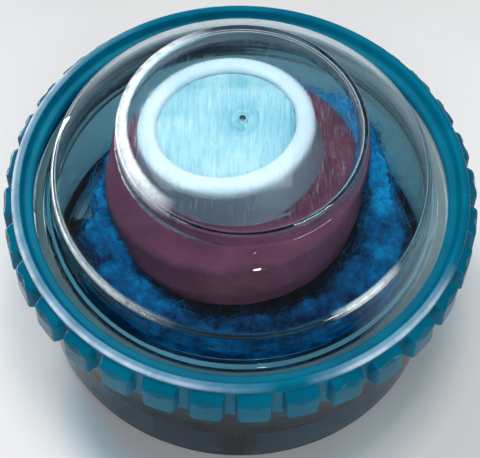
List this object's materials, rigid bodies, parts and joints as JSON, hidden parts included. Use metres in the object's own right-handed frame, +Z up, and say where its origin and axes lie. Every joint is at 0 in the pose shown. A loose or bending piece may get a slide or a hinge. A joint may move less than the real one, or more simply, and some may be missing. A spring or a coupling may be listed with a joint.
{
  "type": "air stone pod",
  "caption": "Round clear aquarium bubbler pod: stepped dome held by a screwed teal grip ring, porous stone in blue filter floss inside, air inlet underneath.",
  "frame": {"origin": "centre of the rest plane, under the foot pads", "axes": "+Z up along the axis of the cup, ring and dome; +Y towards the hose nipple"},
  "size_m": [0.0854, 0.0854, 0.0574],
  "materials": {
    "smoky_cup": "gloss, smoky and see-through",
    "clear_plastic": "gloss, clear with a faint teal tint at the edges",
    "teal_plastic": "satin, translucent teal",
    "frosted_plastic": "frosted white",
    "pale_blue_plastic": "gloss, translucent light blue",
    "mauve_stone": "fine-grained bonded mineral",
    "blue_floss": "fuzzy blue filter wool",
    "white_plastic": "satin moulded",
    "tray_plastic": "satin moulded smoky grey",
    "nut_plastic": "satin moulded nylon",
    "black_rubber": "matte",
    "valve_rubber": "matte",
    "clear_silicone": "satin, milky",
    "grey_silicone": "satin",
    "coated_weight": "satin epoxy coat"
  },
  "bodies": {
    "base": {"base_cup": "smoky_cup", "foot_pads": "black_rubber", "ballast_ring": "coated_weight", "inlet_elbow": "white_plastic", "inlet_grommet": "black_rubber", "media_tray": "tray_plastic", "valve_seat": "white_plastic", "valve_cap": "white_plastic", "coupling_tube": "clear_silicone", "stem_tube": "white_plastic", "clamp_plate": "white_plastic", "lower_washer": "black_rubber", "air_stone": "mauve_stone", "upper_washer": "black_rubber", "outlet_collar": "frosted_plastic", "stem_nut": "nut_plastic", "diffuser_disc": "pale_blue_plastic", "floss_bed": "blue_floss", "floss_wrap": "blue_floss", "seal_ring": "grey_silicone"},
    "lid": {"dome_lid": "clear_plastic"},
    "ring": {"lock_ring": "teal_plastic"},
    "flap": {"valve_disc": "valve_rubber"}
  },
  "joints": [
    {"name": "lid_rise", "type": "slide", "parent": "base", "child": "lid", "axis": [0, 0, 1], "range_m": [0, 0.00384]},
    {"name": "ring_turn", "type": "hinge", "parent": "lid", "child": "ring", "pos_m": [0, 0, 0.0355], "axis": [0, 0, 1], "range_deg": [0, 115]},
    {"name": "valve_lift", "type": "slide", "parent": "base", "child": "flap", "axis": [0, 0, 1], "range_m": [0, 0.0006]}
  ],
  "couplings": [
    {"joint": "lid_rise", "follows": "ring_turn", "m_per_rad": 0.0019099}
  ]
}
